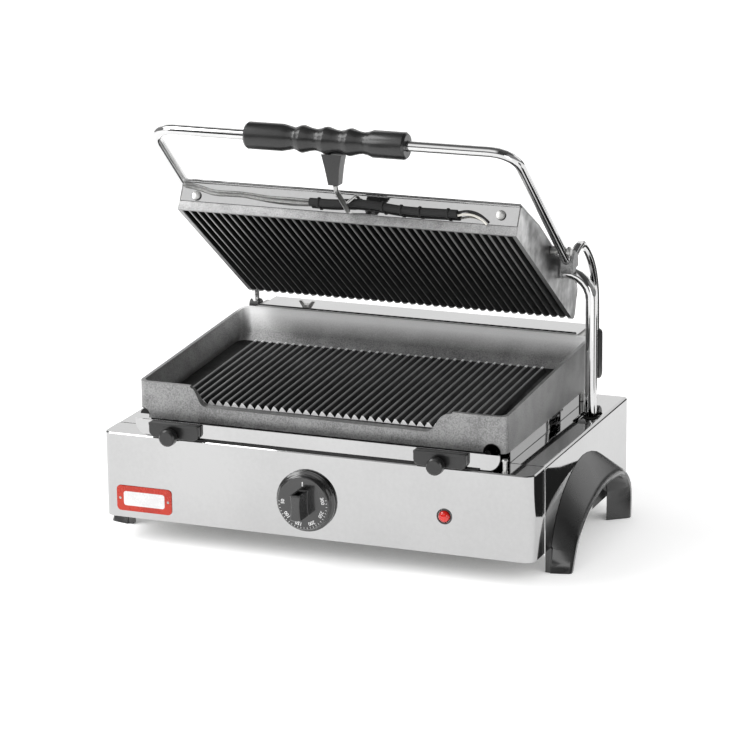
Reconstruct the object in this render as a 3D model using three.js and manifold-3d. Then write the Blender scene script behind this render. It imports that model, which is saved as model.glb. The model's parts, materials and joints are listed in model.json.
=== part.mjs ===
// Contact grill (panini press) with a ribbed upper plate on a rear-hinged lever.
// Millimetres, +Z up, -Y towards the cook. Depths below are counted from the front face of the
// base; the whole group is moved at the end, so that the origin is the middle of the footprint.
import * as THREE from 'three';
import { mergeVertices } from 'three/addons/utils/BufferGeometryUtils.js';
import Module from 'manifold-3d';

const wasm = await Module();
wasm.setup();

// ---------------------------------------------------------------- driving dimensions
const gap = 0.3;                                  // running gap between touching pieces
const base = { half: 228, depth: 294, bottom: 25.6, top: 113, sheet: 1.5, corner: 10 };
const seam = { deck: 37, side: 30 };              // where the front cover meets the body shell
const slot = { x: 213, half: 10.5, front: 186, rear: 235 };
const guard = { half: 195, front: 17.8, rear: 278, bottom: 126.9, topFront: 164, topRear: 178.5 };
const ribs = { count: 38, pitch: 8.6, height: 5, land: 0.8, slope: 3.2, front: 34, top: 145.5 };
const lower = { half: 182.8, length: 206.4, thick: 12, ribStart: 2, ribEnd: 194 };
const tray = { half: 182, front: 4, rear: 262, bottom: 113.4, height: 11, sheet: 1.2 };
const dial = { x: -6.6, z: 64.6, flange: 31, face: 27.4, depth: 11 };
const lamp = { x: 137.5, z: 63.9, radius: 6.8 };
const plate = {
  y: 87.4, z: 325.8, tilt: 36.1, half: 180, ribCount: 41, groove: 4.2, wall: 8, joint: 9.5, lip: 2.6,
};
const pivot = { y: 191.5, z: 288, bore: 3.3 };    // upper plate on the handle bar
const hinge = { y: 301.7, z: 162.9, shaft: 5 };   // lever on the base
const bar = { radius: 5, y: 53, z: 414.5, half: 190, hubHalf: 192.5, bend: 24 };
const grip = { from: -86, to: 82, barrel: 13.5, bulge: 13.7, waist: 10.6 };
const strut = { x: 213, y: 221, z: 259, radius: 6, bore: 4.8, bend: 26, length: 149, boreDepth: 120 };
const anchor = { z: 33, rod: 3.5, rodLength: 100, eye: 5 };
const shelf = { half: 178, front: 279, rear: 325, z: 178.5, lip: 6 };
const frontMost = -31;                            // dial pointer
const rearMost = shelf.rear;

// ---------------------------------------------------------------- materials
const look = (colour, metalness, roughness) =>
  new THREE.MeshStandardMaterial({ color: colour, metalness, roughness });
const polishedSteel = () => look(0xd4d6d8, 1, 0.18);
const chrome = () => look(0xe2e4e6, 1, 0.08);
const castAluminium = () => look(0x8f908e, 0.9, 0.5);
const blackCastIron = () => look(0x1d1e1f, 0.5, 0.55);
const blackPlastic = () => look(0x17181a, 0, 0.42);
const zincSteel = () => look(0xa9abad, 1, 0.35);
const redLens = () => look(0xb5121a, 0, 0.15);
const whiteCeramic = () => look(0xe9e6dc, 0, 0.5);

// ---------------------------------------------------------------- solids
const X = new THREE.Vector3(1, 0, 0);
const Y = new THREE.Vector3(0, 1, 0);
const Z = new THREE.Vector3(0, 0, 1);

function toSolid(geometry) {
  const bare = geometry.clone();
  bare.deleteAttribute('normal');
  bare.deleteAttribute('uv');
  const merged = mergeVertices(bare, 1e-4);
  return new wasm.Manifold(new wasm.Mesh({
    numProp: 3,
    vertProperties: new Float32Array(merged.attributes.position.array),
    triVerts: new Uint32Array(merged.index.array),
  }));
}

function toGeometry(solid) {
  const mesh = solid.getMesh();
  const geometry = new THREE.BufferGeometry();
  geometry.setAttribute('position', new THREE.BufferAttribute(mesh.vertProperties, 3));
  geometry.setIndex(new THREE.BufferAttribute(mesh.triVerts, 1));
  geometry.computeVertexNormals();
  return geometry;
}

const cut = (body, ...tools) =>
  toGeometry(tools.reduce((solid, tool) => solid.subtract(toSolid(tool)), toSolid(body)));
const join = (body, ...others) =>
  toGeometry(others.reduce((solid, other) => solid.add(toSolid(other)), toSolid(body)));
const common = (body, other) => toGeometry(toSolid(body).intersect(toSolid(other)));

function box(x0, x1, y0, y1, z0, z1) {
  const geometry = new THREE.BoxGeometry(x1 - x0, y1 - y0, z1 - z0);
  return geometry.translate((x0 + x1) / 2, (y0 + y1) / 2, (z0 + z1) / 2);
}

// A shape drawn in two of the axes and extruded along the third.
const frames = {
  x: new THREE.Matrix4().makeBasis(Y, Z, X),
  y: new THREE.Matrix4().makeBasis(X, Z, Y.clone().negate()),
  z: new THREE.Matrix4().makeBasis(X, Y, Z),
};

function extrude(axis, shape, from, to, { bevel = 0, segments = 6 } = {}) {
  const geometry = new THREE.ExtrudeGeometry(shape, {
    depth: to - from - 2 * bevel,
    bevelEnabled: bevel > 0,
    bevelSize: bevel,
    bevelThickness: bevel,
    bevelOffset: -bevel,
    bevelSegments: 1,
    curveSegments: segments,
  });
  geometry.translate(0, 0, axis === 'y' ? bevel - to : from + bevel);
  return geometry.applyMatrix4(frames[axis]);
}

const polygon = (points) => new THREE.Shape(points.map(([a, b]) => new THREE.Vector2(a, b)));

function roundedRect(a0, a1, b0, b1, radius) {
  const [bottomLeft, bottomRight, topRight, topLeft] = [radius].flat().length === 4
    ? radius : [radius, radius, radius, radius];
  const shape = new THREE.Shape();
  const arc = (a, b, r, start) => (r > 0
    ? shape.absarc(a, b, r, start, start + Math.PI / 2, false) : shape.lineTo(a, b));
  shape.moveTo(a0 + bottomLeft, b0);
  arc(a1 - bottomRight, b0 + bottomRight, bottomRight, -Math.PI / 2);
  arc(a1 - topRight, b1 - topRight, topRight, 0);
  arc(a0 + topLeft, b1 - topLeft, topLeft, Math.PI / 2);
  arc(a0 + bottomLeft, b0 + bottomLeft, bottomLeft, Math.PI);
  return shape;
}

// A round bar between two points on a line parallel to one axis.
function cylinder(axis, radius, from, to, a, b, sides = 24) {
  const geometry = new THREE.CylinderGeometry(radius, radius, to - from, sides);
  const middle = (from + to) / 2;
  if (axis === 'x') return geometry.rotateZ(Math.PI / 2).translate(middle, a, b);
  if (axis === 'y') return geometry.translate(a, middle, b);
  return geometry.rotateX(Math.PI / 2).translate(a, b, middle);
}

// A turned piece: profile [radius, station] pairs about an axis through (a, b).
function turned(axis, profile, a, b, sides = 24) {
  const geometry = new THREE.LatheGeometry(profile.map(([r, s]) => new THREE.Vector2(r, s)), sides);
  if (axis === 'x') return geometry.rotateZ(-Math.PI / 2).translate(0, a, b);
  if (axis === 'y') return geometry.translate(a, 0, b);
  return geometry.rotateX(Math.PI / 2).translate(a, b, 0);
}

// Straight runs joined by arcs, with points only where the route bends.
class Route extends THREE.Curve {
  constructor(corners, radius, arcSteps = 6) {
    super();
    this.points = [corners[0]];
    corners.slice(1, -1).forEach((corner, i) => {
      const inward = corners[i].clone().sub(corner).normalize();
      const outward = corners[i + 2].clone().sub(corner).normalize();
      const half = inward.angleTo(outward) / 2;
      const reach = radius / Math.tan(half);
      const centre = inward.clone().add(outward).normalize()
        .multiplyScalar(radius / Math.sin(half)).add(corner);
      const first = inward.multiplyScalar(reach).add(corner).sub(centre);
      const last = outward.multiplyScalar(reach).add(corner).sub(centre);
      const axis = first.clone().cross(last).normalize();
      for (let k = 0; k <= arcSteps; k += 1) {
        const turn = first.clone().applyAxisAngle(axis, (Math.PI - 2 * half) * (k / arcSteps));
        this.points.push(turn.add(centre));
      }
    });
    this.points.push(corners[corners.length - 1]);
  }

  getPoint(t) {
    const place = Math.min(t, 1) * (this.points.length - 1);
    const i = Math.min(Math.floor(place + 1e-6), this.points.length - 2);
    return this.points[i].clone().lerp(this.points[i + 1], place - i);
  }

  getPointAt(t) {
    return this.getPoint(t);
  }

  getTangentAt(t) {
    const i = Math.round(t * (this.points.length - 1));
    const before = this.points[Math.max(i - 1, 0)];
    const here = this.points[i];
    const after = this.points[Math.min(i + 1, this.points.length - 1)];
    const into = here.clone().sub(before).normalize();
    const out = after.clone().sub(here).normalize();
    return into.add(out).normalize();
  }
}

const at = (x, y, z) => new THREE.Vector3(x, y, z);

function circle(radius, sides) {
  const corners = Array.from({ length: sides }, (_, i) => (2 * Math.PI * i) / sides);
  return polygon(corners.map((angle) => [radius * Math.cos(angle), radius * Math.sin(angle)]));
}

const sweep = (path, steps, radius, sides) =>
  new THREE.ExtrudeGeometry(circle(radius, sides), { steps, extrudePath: path });

function tube(corners, radius, { bend = 10, sides = 12, arcSteps = 6 } = {}) {
  const path = new Route(corners, bend, arcSteps);
  return sweep(path, path.points.length - 1, radius, sides);
}

const softTube = (points, radius, { steps = 16, sides = 8 } = {}) =>
  sweep(new THREE.CatmullRomCurve3(points, false, 'centripetal'), steps, radius, sides);

// A closed skin over rings of points that match one to one, with flat ends. The rings run
// anticlockwise as seen from the far end, or clockwise where `turnedRound` is set.
function loft(rings, turnedRound = false) {
  const count = rings[0].length;
  const ordered = turnedRound ? rings.map((points) => [...points].reverse()) : rings;
  const position = ordered.flat().flatMap((point) => point.toArray());
  const index = [];
  for (let ring = 0; ring + 1 < rings.length; ring += 1) {
    for (let i = 0; i < count; i += 1) {
      const a = ring * count + i;
      const b = ring * count + ((i + 1) % count);
      index.push(a, b, b + count, a, b + count, a + count);
    }
  }
  const end = (rings.length - 1) * count;
  for (let i = 1; i + 1 < count; i += 1) {
    index.push(0, i + 1, i);
    index.push(end, end + i, end + i + 1);
  }
  const geometry = new THREE.BufferGeometry();
  geometry.setAttribute('position', new THREE.Float32BufferAttribute(position, 3));
  geometry.setIndex(index);
  geometry.computeVertexNormals();
  return geometry;
}

const mirrored = (geometry) => toGeometry(toSolid(geometry).mirror([1, 0, 0]));

// ---------------------------------------------------------------- groups
const press = new THREE.Group();
const upper = new THREE.Group();                  // everything in the tilted plate's own axes
upper.position.set(0, plate.y, plate.z);
upper.rotation.x = THREE.MathUtils.degToRad(-plate.tilt);
press.add(upper);

function add(group, name, geometry, material) {
  const mesh = new THREE.Mesh(geometry, material);
  mesh.name = name;
  group.add(mesh);
}

// The same piece on both sides: the given one is the right one, in +X.
function addPair(group, name, geometry, material) {
  add(group, `${name}_right`, geometry, material());
  add(group, `${name}_left`, mirrored(geometry), material());
}

// ---------------------------------------------------------------- base housing
function frontCover() {
  const { half, bottom, top, sheet, corner } = base;
  const deckEnd = seam.deck - gap / 2;
  const sideEnd = seam.side - gap / 2;
  const outer = roundedRect(-half, half, 0, deckEnd, [corner, corner, 0, 0]);
  const inner = roundedRect(-half + sheet, half - sheet, sheet, deckEnd + 9,
    [corner - sheet, corner - sheet, 0, 0]);
  const block = extrude('z', outer, bottom - 5, top, { bevel: 1.2 });
  const below = box(-half - 9, half + 9, -9, deckEnd + 9, bottom - 9, bottom);
  const behind = box(-half - 9, half + 9, sideEnd, deckEnd + 9, bottom - 9, top - sheet);
  const shaftHole = cylinder('y', 5.5, -9, 9, dial.x, dial.z);
  const lampHole = cylinder('y', lamp.radius - 0.6, -9, 9, lamp.x, lamp.z);
  return cut(block, extrude('z', inner, bottom - 9, top - sheet), below, behind, shaftHole, lampHole);
}

function bodyShell() {
  const { half, depth, bottom, top, sheet } = base;
  const outer = roundedRect(-half, half, bottom, top, [0, 0, 3, 3]);
  const inner = roundedRect(-half + sheet, half - sheet, bottom - 9, top - sheet, [0, 0, 1.5, 1.5]);
  const frontEnd = seam.side + gap / 2;
  const strutSlot = roundedRect(slot.x - slot.half, slot.x + slot.half, slot.front, slot.rear,
    slot.half - 0.5);
  return cut(
    extrude('y', outer, frontEnd, depth),
    extrude('y', inner, frontEnd - 9, depth + 9),
    box(-half - 9, half + 9, frontEnd - 9, seam.deck + gap / 2, top - sheet - 2, top + 9),
    extrude('z', strutSlot, top - 9, top + 9),
  );
}

function rearPanel() {
  const inset = base.half - base.sheet - 2 * gap;
  const panel = box(-inset, inset, base.depth - 1.8, base.depth - gap, base.bottom + 2.2,
    base.top - base.sheet - 2 * gap);
  const vents = Array.from({ length: 5 }, (_, i) => extrude('y',
    roundedRect(-90 + 20 * i, -84 + 20 * i, 50, 88, 2.9), base.depth - 9, base.depth + 9,
    { segments: 2 }));
  return cut(panel, ...vents, cylinder('y', 8.5, base.depth - 9, base.depth + 9, 150, 60));
}

function bottomPlate() {
  const inset = base.half - base.sheet - gap;
  const round = base.corner - base.sheet - gap;
  const outline = roundedRect(-inset, inset, base.sheet + gap, base.depth - gap, [round, round, 0, 0]);
  const sheet = extrude('z', outline, base.bottom + 0.4, base.bottom + 1.9);
  const vents = Array.from({ length: 4 }, (_, i) => extrude('z',
    roundedRect(-80 + 44 * i, -50 + 44 * i, 120, 126, 2.9), base.bottom - 9, base.bottom + 9,
    { segments: 2 }));
  return cut(sheet, ...vents);
}

// An arched foot of moulded plastic: a wide band that stands clear of the side panel.
function bridgeFoot() {
  const inner = [
    [50, 0], [52.5, 14], [58, 34], [72, 56], [92, 73], [122, 87], [150, 92],
    [180, 88], [208, 77], [230, 60], [246, 38], [252, 16], [253, 0],
  ];
  const outer = [
    [54.3, 0], [60, 11], [70, 27], [84, 40], [106, 53], [138, 62.5], [166, 65.5],
    [194, 64.5], [216, 60.5], [234, 53], [248, 38], [252, 20], [250, 0],
  ];
  const smooth = (points) => new THREE.SplineCurve(points.map(([a, b]) =>
    new THREE.Vector2(a, b))).getPoints(24);
  // The band is 9 mm thick, and its rear leg thickens towards the panel.
  const inside = (line, rearLeg) => line.map((point, i) => {
    const thick = 9 + rearLeg * THREE.MathUtils.smoothstep(i / (line.length - 1), 0.7, 0.95);
    const before = line[Math.max(i - 1, 0)];
    const after = line[Math.min(i + 1, line.length - 1)];
    const along = after.clone().sub(before).normalize();
    const inset = point.clone().add(new THREE.Vector2(along.y, -along.x).multiplyScalar(thick));
    return new THREE.Vector2(inset.x, i === 0 || i === line.length - 1 ? 0 : Math.max(inset.y, 0.5));
  });
  const panelLine = smooth(inner);
  const rimLine = smooth(outer);
  const panelUnder = inside(panelLine, 17);
  const rimUnder = inside(rimLine, 0);
  const near = base.half + gap;
  const rim = 248.4;
  const edge = 2.4;
  const arch = loft(panelLine.map((point, i) => {
    const top = (t) => point.clone().lerp(rimLine[i], t);
    const under = (t) => panelUnder[i].clone().lerp(rimUnder[i], t);
    const place = (x, p) => at(x, p.x, p.y);
    return [
      place(near, top(0)),
      place(near, under(0)),
      place(rim - edge, under(0.94)),
      place(rim, rimUnder[i].clone().lerp(rimLine[i], 0.25)),
      place(rim, rimUnder[i].clone().lerp(rimLine[i], 0.72)),
      place(rim - edge, top(0.94)),
    ];
  }), true);
  const tuck = (y0, y1) => box(near - 5.4, near + 1, y0, y1, 0, base.bottom - gap);
  return join(arch, tuck(51.8, 58.6), tuck(244.2, 251.6));
}

add(press, 'front_cover', frontCover(), polishedSteel());
add(press, 'body_shell', bodyShell(), polishedSteel());
add(press, 'rear_panel', rearPanel(), polishedSteel());
add(press, 'bottom_plate', bottomPlate(), zincSteel());
addPair(press, 'bridge_foot', bridgeFoot(), blackPlastic);

// ---------------------------------------------------------------- controls and wiring
// The dial: a skirted knob with a waisted bar grip, hollow at its top end.
function thermostatKnob() {
  const { x, z, flange, face, depth } = dial;
  const body = turned('y', [
    [0, -depth], [face - 1, -depth], [face, -depth + 1], [face + 1, -5.6], [flange, -4.2],
    [flange, -gap - 1.2], [flange - 1, -gap], [0, -gap],
  ], x, z, 40);
  const bar = new THREE.Shape();
  bar.moveTo(x - 5.8, z - 12);
  bar.quadraticCurveTo(x, z - 13.8, x + 5.8, z - 12);
  bar.quadraticCurveTo(x + 3.4, z, x + 5.4, z + 13.4);
  bar.lineTo(x - 5.4, z + 13.4);
  bar.quadraticCurveTo(x - 3.4, z, x - 5.8, z - 12);
  const raised = extrude('y', bar, frontMost, -depth + 1, { bevel: 1, segments: 5 });
  const pocket = box(x - 3, x + 3, -27.5, -depth - 2, z + 7, z + 19);
  return cut(join(body, raised), pocket, cylinder('y', 3.2, -9.5, 9, x, z, 16));
}

function thermostatBody() {
  const { x, z } = dial;
  const sheet = base.sheet + gap;
  return join(
    cylinder('y', 3, -9.2, 20, x, z, 16),
    cylinder('y', 4.8, sheet - 1.5, 20, x, z, 16),
    extrude('y', roundedRect(x - 20, x + 20, z - 17, z + 17, 4), sheet, sheet + 34),
  );
}

function lampLens() {
  const { x, z, radius } = lamp;
  return turned('y', [[0, -4.6], [3.4, -4.1], [5.2, -2.7], [radius - 0.9, -0.6], [radius - 0.9, 10],
    [0, 10]], x, z, 12);
}

function lampBody() {
  const { x, z, radius } = lamp;
  const bore = radius - 0.9 + gap;
  return turned('y', [[0, 10 + gap], [bore, 10 + gap], [bore, base.sheet + gap],
    [radius + 3, base.sheet + gap], [radius + 3, 12], [radius, 14], [radius, 24], [0, 24]], x, z, 20);
}

function terminalBlock() {
  const floor = base.bottom + 2.2;
  const body = box(110, 170, 240, 262, floor, floor + 20);
  const ways = Array.from({ length: 4 }, (_, i) =>
    cylinder('z', 3.4, floor + 8, floor + 30, 118.5 + 14.4 * i, 251, 12));
  return cut(body, ...ways);
}

// A tapered strain relief with its nut; no lead is fitted.
function cableGland() {
  const rear = base.depth;
  return turned('y', [[3.6, rear + 16], [6.5, rear + 16], [8, rear + 8], [11, rear + 6],
    [11, rear + gap], [8.1, rear + gap], [8.1, rear - 2.2], [11, rear - 2.2],
    [11, rear - 8], [3.6, rear - 8], [3.6, rear + 16]].reverse(), 150, 60, 16);
}

add(press, 'thermostat_knob', thermostatKnob(), blackPlastic());
add(press, 'thermostat_body', thermostatBody(), zincSteel());
add(press, 'pilot_lamp_lens', lampLens(), redLens());
add(press, 'pilot_lamp_body', lampBody(), blackPlastic());
add(press, 'terminal_block', terminalBlock(), whiteCeramic());
add(press, 'cable_gland', cableGland(), blackPlastic());

// ---------------------------------------------------------------- lower grill
const ribSlope = Math.tan(THREE.MathUtils.degToRad(ribs.slope));
const ribTop = (y) => ribs.top + (y - ribs.front) * ribSlope;

function ring(half, y0, y1, radius, height) {
  const shape = roundedRect(-half, half, y0, y1, radius);
  return shape.getPoints(4).slice(0, -1).map((point) => at(point.x, point.y, height(point.y)));
}

// The cast surround: walls that rise to the rear, a low pouring lip in front and drain notches.
function splashGuard() {
  const { half, front, rear, bottom, topFront, topRear } = guard;
  const side = polygon([[front, bottom], [rear, bottom + 1.1], [rear, topRear], [front, topFront]]);
  const plan = roundedRect(-half, half, front, rear, 8);
  const block = common(extrude('x', side, -half - 1, half + 1),
    extrude('z', plan, bottom - 9, topRear + 9, { segments: 4 }));
  const rim = (y) => topFront + ((y - front) * (topRear - topFront)) / (rear - front);
  const bowl = loft([
    ring(lower.half + gap, 31, 239, 9, (y) => ribTop(y) - lower.thick - gap),
    ring(183.3, 28, 246.5, 9.5, (y) => ribTop(y) - 4),
    ring(183.5, 26.5, 251, 10, (y) => ribTop(y) + 1),
    ring(191.8, 21.4, 272.5, 7, (y) => rim(y) + 0.5),
  ]);
  const opening = box(-164, 164, 42, 226, bottom - 9, ribTop(226));
  const lip = new THREE.Shape();
  lip.moveTo(-138.5, topFront - 1.5);
  lip.bezierCurveTo(-130, topFront - 3, -132, 143.7, -121.5, 143.3);
  lip.lineTo(112, 141.8);
  lip.bezierCurveTo(124, 141.8, 120, topFront - 2, 139.2, topFront - 1.5);
  lip.lineTo(139.2, topRear + 20);
  lip.lineTo(-138.5, topRear + 20);
  const drains = [[-191, 129.2, 7], [180, 127.6, 8.4]].map(([x, z, radius]) =>
    cylinder('y', radius, front - 9, front + 24, x, z, 20));
  return cut(block, bowl, opening, extrude('y', lip, front - 9, 42, { segments: 7 }), ...drains);
}

// The cooking plate, sloped to drain forwards, with ribs that end short of the grease channel.
function lowerPlate() {
  const { half, length, thick, ribStart, ribEnd } = lower;
  const { count, pitch, height, land, slope, front, top } = ribs;
  const start = -2.4;
  const slab = extrude('z', roundedRect(-half, half, start, start + length, 9), -thick, -height,
    { segments: 3 });
  const channel = extrude('z', roundedRect(-half + 9, half - 9, start + 2, ribStart - 0.3, 1),
    -height - 2, 1, { segments: 2 });
  const edge = (-count * pitch) / 2;
  const teeth = Array.from({ length: count }, (_, i) => edge + (i + 0.5) * pitch).flatMap((x) => [
    [x - pitch / 2 + 0.5, -height], [x - land, 0], [x + land, 0]]);
  const comb = polygon([[edge, -height - 1], ...teeth, [-edge, -height], [-edge, -height - 1]]);
  const grate = join(cut(slab, channel), extrude('y', comb, ribStart, ribEnd));
  return grate.rotateX(THREE.MathUtils.degToRad(slope)).translate(0, front, top);
}

// A sheathed element bent to and fro under its plate; its plane is the plate's.
function heatingElement(half, y0, runs, runPitch) {
  const corners = [];
  for (let i = 0; i < runs; i += 1) {
    const side = i % 2 ? -1 : 1;
    corners.push(at(side * half, y0 + i * runPitch, 0), at(-side * half, y0 + i * runPitch, 0));
  }
  return tube(corners, 3.2, { bend: runPitch / 2 - 1, sides: 6, arcSteps: 3 });
}

function lowerElement() {
  return heatingElement(140, 26, 5, 34).rotateX(THREE.MathUtils.degToRad(ribs.slope))
    .translate(0, ribs.front, ribs.top - lower.thick - 3.6);
}

// A folded side strip between the deck and the casting, open where the spacer post stands.
function sideSkirt() {
  const deck = base.top + gap;
  const under = guard.bottom - gap;
  const section = polygon([[190.5, deck], [192, deck], [192, under], [184, under],
    [184, under - 1.3], [190.5, under - 1.3]]);
  return cut(extrude('y', section, 37.5, 246), box(186, 199, 150, 188, deck - 9, under - 3));
}

const postHeight = [base.top + gap, guard.bottom - gap];

add(press, 'splash_guard', splashGuard(), castAluminium());
add(press, 'lower_plate', lowerPlate(), blackCastIron());
add(press, 'lower_element', lowerElement(), zincSteel());
addPair(press, 'side_skirt', sideSkirt(), polishedSteel);
addPair(press, 'middle_post', join(
  cylinder('z', 2.6, postHeight[0], postHeight[1] - 1.3 - gap, 187.6, 157, 12),
  cylinder('z', 3.4, postHeight[0], postHeight[0] + 4, 187.6, 157, 6),
), zincSteel);
addPair(press, 'rear_post', cylinder('z', 4, ...postHeight, 187.2, 265, 12), zincSteel);

// ---------------------------------------------------------------- drip tray
function dripTray() {
  const { half, front, rear, bottom, height, sheet } = tray;
  const pan = cut(
    extrude('y', roundedRect(-half, half, bottom, bottom + height, [8, 8, 0, 0]), front + 0.5, rear),
    extrude('y', roundedRect(-half + sheet, half - sheet, bottom + sheet, bottom + height + 9,
      [7, 7, 0, 0]), front + 1, rear - sheet),
  );
  const strip = extrude('y', roundedRect(-193, 193, bottom, 129.5, [13, 13, 1, 1]), front,
    front + 1.5);
  return join(pan, strip);
}

function trayTab(x0, x1) {
  const { front, bottom } = tray;
  const face = roundedRect(x0, x1, bottom, 129.3, [6, 6, 2.5, 2.5]);
  const ledge = box(x0 + 1, x1 - 1, -4.6, front - gap, 126.6, 128.9);
  return join(extrude('y', face, -2.6, front - gap, { bevel: 1, segments: 2 }), ledge);
}

const trayKnob = (x) => turned('y', [[0, -15], [6.8, -15], [8.6, -13.4], [8.8, -7], [8, -5.4],
  [4.6, -5], [4.6, -2.6 - gap], [0, -2.6 - gap]], x, 117, 20);

add(press, 'drip_tray', dripTray(), polishedSteel());
add(press, 'tray_tab_left', trayTab(-175.5, -121.5), blackPlastic());
add(press, 'tray_tab_right', trayTab(106.3, 160.7), blackPlastic());
add(press, 'tray_knob_left', trayKnob(-151), blackPlastic());
add(press, 'tray_knob_right', trayKnob(132), blackPlastic());

// ---------------------------------------------------------------- rear hinge on the base
// A cheek that rises from the deck's rear edge, leans back and carries the shaft and the shelf.
function hingeBracket() {
  const deck = base.top + gap;
  const head = shelf.z - base.sheet - gap;
  const cheek = polygon([[279.5, deck], [293.5, deck], [293.5, 132], [hinge.y + 12, 150],
    [hinge.y + 13, head], [282, head], [279.5, 150]]);
  return cut(
    join(
      extrude('x', cheek, 180.5, 184.3),
      box(166, 182, 279.5, 293.5, deck, deck + 2.5),
      box(158, 182, 283, hinge.y + 13, head - 2, head),
    ),
    cylinder('x', hinge.shaft + gap, 178, 190, hinge.y, hinge.z, 24),
  );
}

function rearShelf() {
  const { half, front, rear, z, lip } = shelf;
  const section = polygon([[front, z - lip], [front + 1.5, z - lip], [front + 1.5, z - 1.5],
    [rear, z - 1.5], [rear, z], [front + 1, z], [front, z - 1]]);
  return extrude('x', section, -half, half);
}

// A wing nut that holds the shelf down near its front left corner.
function wingNut() {
  const x = -125;
  const y = 286;
  const z = shelf.z + gap;
  const wings = polygon([[x - 4, z], [x + 4, z], [x + 9, z + 8], [x + 6, z + 8.6], [x + 2, z + 4.5],
    [x - 2, z + 4.5], [x - 6, z + 8.6], [x - 9, z + 8]]);
  return join(turned('z', [[0, z], [4.6, z], [4.2, z + 5], [0, z + 5]], x, y, 14),
    extrude('y', wings, y - 1.4, y + 1.4));
}

addPair(press, 'hinge_bracket', hingeBracket(), zincSteel);
add(press, 'rear_shelf', rearShelf(), polishedSteel());
add(press, 'wing_nut', wingNut(), zincSteel());

// The swivelling foot of the balance strut: cheeks and cross pin on the bottom plate.
function strutAnchor() {
  const floor = base.bottom + 2.2;
  const cheek = (side) => box(strut.x + side * 6 - 2, strut.x + side * 6 + 2, strut.y - 6,
    strut.y + 6, floor, anchor.z + 4);
  return join(
    box(strut.x - 10, strut.x + 10, strut.y - 14, strut.y - 6.5 + 1, floor, floor + 2),
    box(strut.x - 8, strut.x + 8, strut.y - 6.5, strut.y - 5.5, floor, anchor.z + 1),
    cheek(-1),
    cheek(1),
    cylinder('x', 1.9, strut.x - 7, strut.x + 7, strut.y, anchor.z, 12),
  );
}

add(press, 'strut_anchor', strutAnchor(), zincSteel());

// ---------------------------------------------------------------- lever
const barEnd = at(bar.hubHalf, 209, 271.8);
const barSide = (side) => at(side * barEnd.x, barEnd.y, barEnd.z);
const barRoute = (inset) => [
  barSide(-1), at(-bar.half, bar.y, bar.z), at(bar.half, bar.y, bar.z), barSide(1),
].map((point, i) => (inset && (i === 0 || i === 3)
  ? point.add(at(0, inset * 0.743, -inset * 0.669)) : point));

const rodX = 191;
const rodRoute = [
  [213.5, 268.7], [222.9, 272.6], [235.4, 277.6], [245.5, 280.8], [254, 281.2], [263, 276.8],
  [272.5, 269.4], [282.5, 259.4], [291, 246.8], [297, 232.6], [300, 216], [300.8, 192],
  [300.8, 170],
].map(([y, z]) => at(rodX, y, z));
const rodBore = () => {
  const [start, end] = [at(rodX, 213.1, 268.5), at(rodX, 300.8, 169.6)];
  return softTube([start, ...rodRoute.slice(1, -1), end], 4.3 + gap, { steps: 22, sides: 10 });
};

function handleBar() {
  const bores = [-1, 1].map((side) => cylinder('x', pivot.bore, side * 191 - 9, side * 191 + 9,
    pivot.y, pivot.z, 16));
  return cut(tube(barRoute(0), bar.radius, { bend: bar.bend, sides: 12, arcSteps: 5 }), ...bores);
}

// The moulded grip: two barrels joined by a run of finger rings.
function gripProfile() {
  const { from, to, barrel, bulge, waist } = grip;
  const profile = [
    [from, barrel - 1.8], [from + 2.4, barrel], [-48, barrel], [-42, barrel - 1.3], [-35.3, waist],
  ];
  for (const ring of [-26, -1, 23.8]) {
    profile.push([ring - 6, bulge - 2], [ring - 2.6, bulge - 0.4], [ring, bulge],
      [ring + 3, bulge - 0.9], [ring + 7.4, waist + 0.9], [ring + 13.4, waist]);
  }
  profile.push([43.5, barrel - 1.6], [47.5, barrel], [to - 2.4, barrel], [to, barrel - 1.8]);
  return profile;
}

function handGrip() {
  const bore = bar.radius + gap;
  const { from, to } = grip;
  const outline = gripProfile().map(([s, r]) => [r, s]);
  return turned('x', [[bore, from], ...outline, [bore, to], [bore, from]], bar.y, bar.z, 18);
}

// The cast hub ties handle bar, hinge rod and strut together.
function hub() {
  const block = polygon([[203, 262], [201, 265], [201, 277], [206, 283], [213, 284.5], [219, 281],
    [220.5, 275], [220.5, 266.2], [214, 266.2], [212, 262]]);
  const tongue = roundedRect(215.5, 226.5, 252.4, 275, [5.4, 5.4, 0, 3]);
  const deeper = tube(barRoute(0.4), bar.radius + gap, { bend: bar.bend, sides: 12, arcSteps: 5 });
  return cut(
    join(
      extrude('x', block, 185.6, 199.4, { bevel: 1.5 }),
      extrude('x', tongue, 181, 183.6),
      box(182, 188, 215.5, 220, 266.5, 275),
    ),
    deeper,
    rodBore(),
    cylinder('x', 3.3, 170, 192, strut.y, strut.z, 16),
  );
}

function hingeBoss() {
  const outline = roundedRect(hinge.y - 7, hinge.y + 7, 128, 181, 6.9);
  return cut(
    extrude('x', outline, 185, 196.8, { bevel: 1.2, segments: 3 }),
    cylinder('x', hinge.shaft + gap, 180, 193.5, hinge.y, hinge.z, 20),
    rodBore(),
  );
}

// The stay: a tapered block under the grip and a rod that reaches under the plate's hook.
function stayStub() {
  const top = bar.z - bar.radius - gap;
  const section = (z, x0, x1, y0, y1) => [at(x0, y0, z), at(x1, y0, z), at(x1, y1, z), at(x0, y1, z)];
  const block = loft([
    section(371, 0, 10.5, 50, 61), section(388, -2.5, 12.5, 47.5, 61), section(top - 1, -7, 17, 46, 60),
    section(bar.z, -7, 17, 46, 60),
  ]);
  return cut(block, cylinder('x', grip.bulge + gap, -40, 40, bar.y, bar.z, 24));
}

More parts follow.
